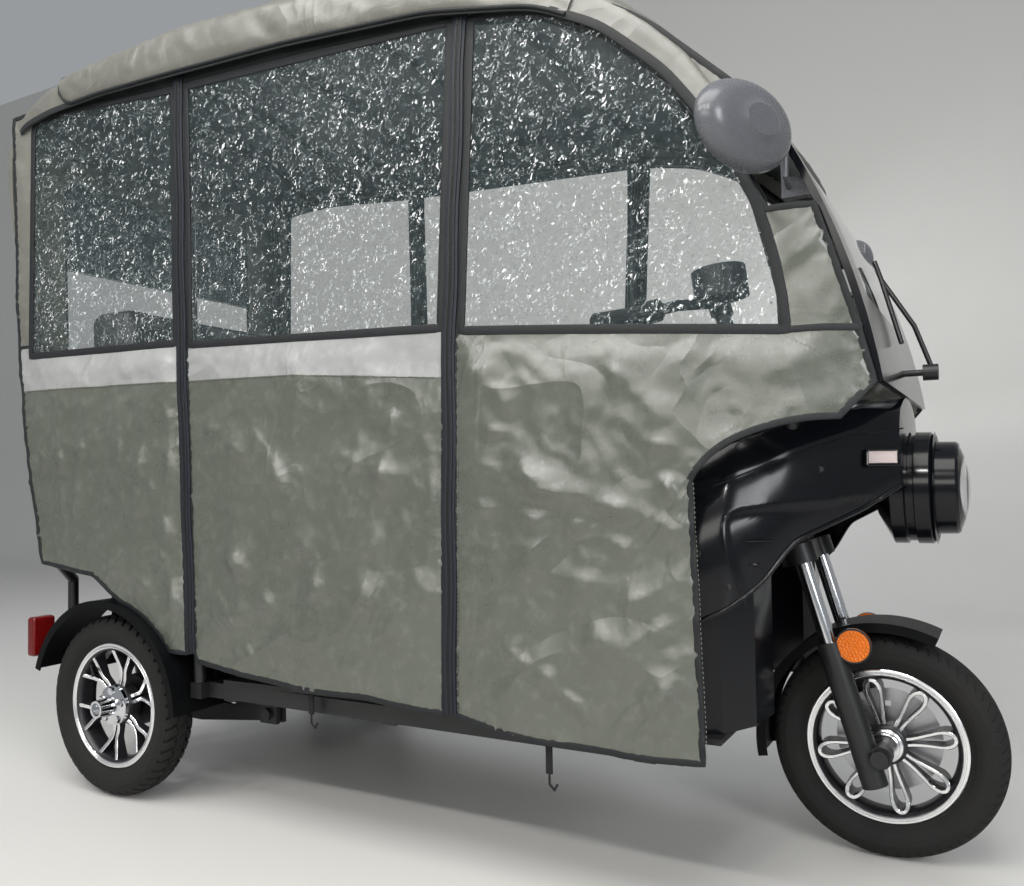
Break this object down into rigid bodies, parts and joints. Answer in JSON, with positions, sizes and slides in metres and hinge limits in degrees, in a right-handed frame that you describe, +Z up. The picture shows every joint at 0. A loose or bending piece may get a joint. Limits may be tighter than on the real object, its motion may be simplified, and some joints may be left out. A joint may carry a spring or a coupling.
{
  "type": "auto rickshaw",
  "caption": "Auto rickshaw with a steered front wheel, driven rear wheels, a padded roof and a zipped rain cover with clear windows.",
  "frame": {"origin": "on the floor, midway between the front of the front tyre and the back of the roof, on the middle plane", "axes": "+X forward along the vehicle, +Y to its left, +Z up"},
  "size_m": [2.255, 1.2504, 1.776],
  "materials": {
    "tyre_rubber": "matte",
    "alloy": "polished",
    "chrome": "polished",
    "bare_steel": "brushed",
    "brass": "satin",
    "black_paint": "satin",
    "black_gloss": "gloss",
    "black_plastic": "matte",
    "black_rubber": "matte",
    "cover_cloth": "satin",
    "roof_cloth": "satin",
    "black_webbing": "matte",
    "clear_film": "gloss",
    "screen_glass": "gloss",
    "mirror_face": "mirror",
    "lamp_clear": "gloss",
    "lamp_amber": "gloss",
    "lamp_red": "gloss",
    "seat_cover": "satin"
  },
  "bodies": {
    "vehicle": {"chassis_frame": "black_paint", "floor_pan": "black_plastic", "rear_body": "black_gloss", "battery_box": "black_plastic", "rear_mudguards": "black_gloss", "rear_axle": "black_paint", "trailing_arms": "black_paint", "rear_shocks": "black_paint", "rear_guard": "black_paint", "tail_lamps": "lamp_red", "roof_canopy": "roof_cloth", "cover_rear_panels": "cover_cloth", "cover_mid_panels": "cover_cloth", "cover_front_panels": "cover_cloth", "side_windows": "clear_film", "cover_zips": "black_webbing", "cover_back_panel": "cover_cloth", "back_window": "clear_film", "cover_straps": "black_webbing", "cab_side_loops": "black_paint", "roof_bows": "black_paint", "back_rails": "black_paint", "front_fairing": "black_gloss", "headlamp_housing": "black_gloss", "headlamp_lens": "lamp_clear", "turn_signals": "lamp_clear", "leg_shield": "black_gloss", "windscreen": "screen_glass", "windscreen_frame": "black_gloss", "wiper": "black_paint", "mirrors": "black_gloss", "mirror_glasses": "mirror_face", "driver_seat_base": "black_plastic", "driver_seat_cushion": "seat_cover", "bench_cushion": "seat_cover", "bench_backrest": "seat_cover"},
    "steering": {"fork_legs": "black_paint", "fork_tubes": "chrome", "steering_column": "black_paint", "handlebar": "black_paint", "handlebar_grips": "black_rubber", "handlebar_controls": "black_plastic", "front_mudguard": "black_gloss", "fork_reflectors": "lamp_amber", "brake_caliper": "black_paint"},
    "front_wheel": {"front_tyre": "tyre_rubber", "front_rim": "alloy", "brake_disc": "bare_steel"},
    "rear_wheel_left": {"rear_tyre_left": "tyre_rubber", "rear_rim_left": "alloy", "rear_hub_left": "chrome"},
    "rear_wheel_right": {"rear_tyre_right": "tyre_rubber", "rear_rim_right": "alloy", "rear_hub_right": "chrome"}
  },
  "joints": [
    {"name": "steering_turn", "type": "hinge", "parent": "vehicle", "child": "steering", "pos_m": [0.87835, 0, 0.19209], "axis": [-0.2807, 0, 0.9598], "range_deg": [-40, 40]},
    {"name": "front_wheel_spin", "type": "hinge", "parent": "steering", "child": "front_wheel", "pos_m": [0.9225, 0, 0.205], "axis": [0, 1, 0], "continuous": true},
    {"name": "rear_wheel_left_spin", "type": "hinge", "parent": "vehicle", "child": "rear_wheel_left", "pos_m": [-0.6775, 0.43, 0.205], "axis": [0, 1, 0], "continuous": true},
    {"name": "rear_wheel_right_spin", "type": "hinge", "parent": "vehicle", "child": "rear_wheel_right", "pos_m": [-0.6775, -0.43, 0.205], "axis": [0, 1, 0], "continuous": true}
  ]
}
